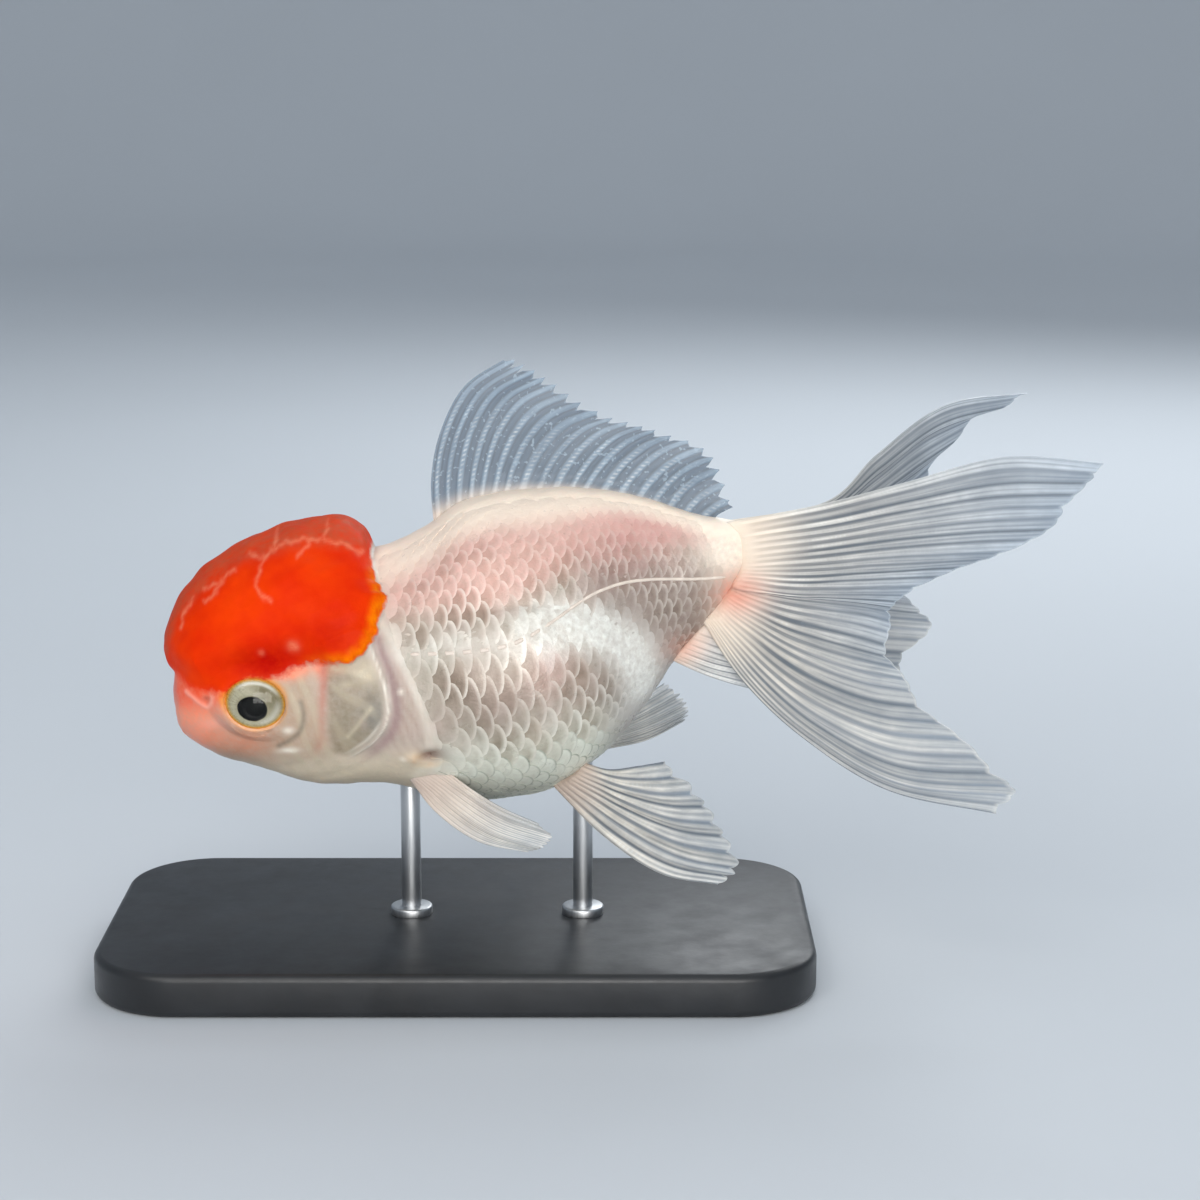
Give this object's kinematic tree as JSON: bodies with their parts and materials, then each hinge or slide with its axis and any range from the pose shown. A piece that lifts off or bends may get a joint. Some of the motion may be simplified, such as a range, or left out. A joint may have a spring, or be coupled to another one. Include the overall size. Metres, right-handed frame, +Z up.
{
  "type": "goldfish model",
  "caption": "Life-size still model of a red-cap oranda goldfish with a double tail, swimming pose, held by a flat display stand.",
  "frame": {"origin": "middle of the underside of the stand's flat base", "axes": "+Z up; the fish faces -X, its tail runs toward +X, and its left side faces -Y"},
  "size_m": [0.1551, 0.062, 0.0987],
  "materials": {
    "scaled_skin": "wet pearly scaled skin, semi-gloss",
    "wen_red": "soft wet wen growth, satin",
    "gill_plate": "silvery bony plate under wet skin",
    "eye": "clear glossy cornea over a metallic iris",
    "fin_membrane": "translucent rayed membrane, satin",
    "stand_black": "satin black",
    "stand_steel": "brushed"
  },
  "bodies": {
    "root": {"head": "scaled_skin", "wen": "wen_red", "gill_cover_left": "gill_plate", "gill_cover_right": "gill_plate", "trunk": "scaled_skin", "tail_stalk": "scaled_skin", "eye_left": "eye", "eye_right": "eye", "dorsal_fin": "fin_membrane", "pectoral_fin_left": "fin_membrane", "pectoral_fin_right": "fin_membrane", "pelvic_fin_left": "fin_membrane", "pelvic_fin_right": "fin_membrane", "anal_fin_left": "fin_membrane", "anal_fin_right": "fin_membrane", "tail_fin_left_upper": "fin_membrane", "tail_fin_left_lower": "fin_membrane", "tail_fin_right_upper": "fin_membrane", "tail_fin_right_lower": "fin_membrane", "stand_base": "stand_black", "stand_rod_front": "stand_steel", "stand_rod_rear": "stand_steel"}
  },
  "joints": []
}
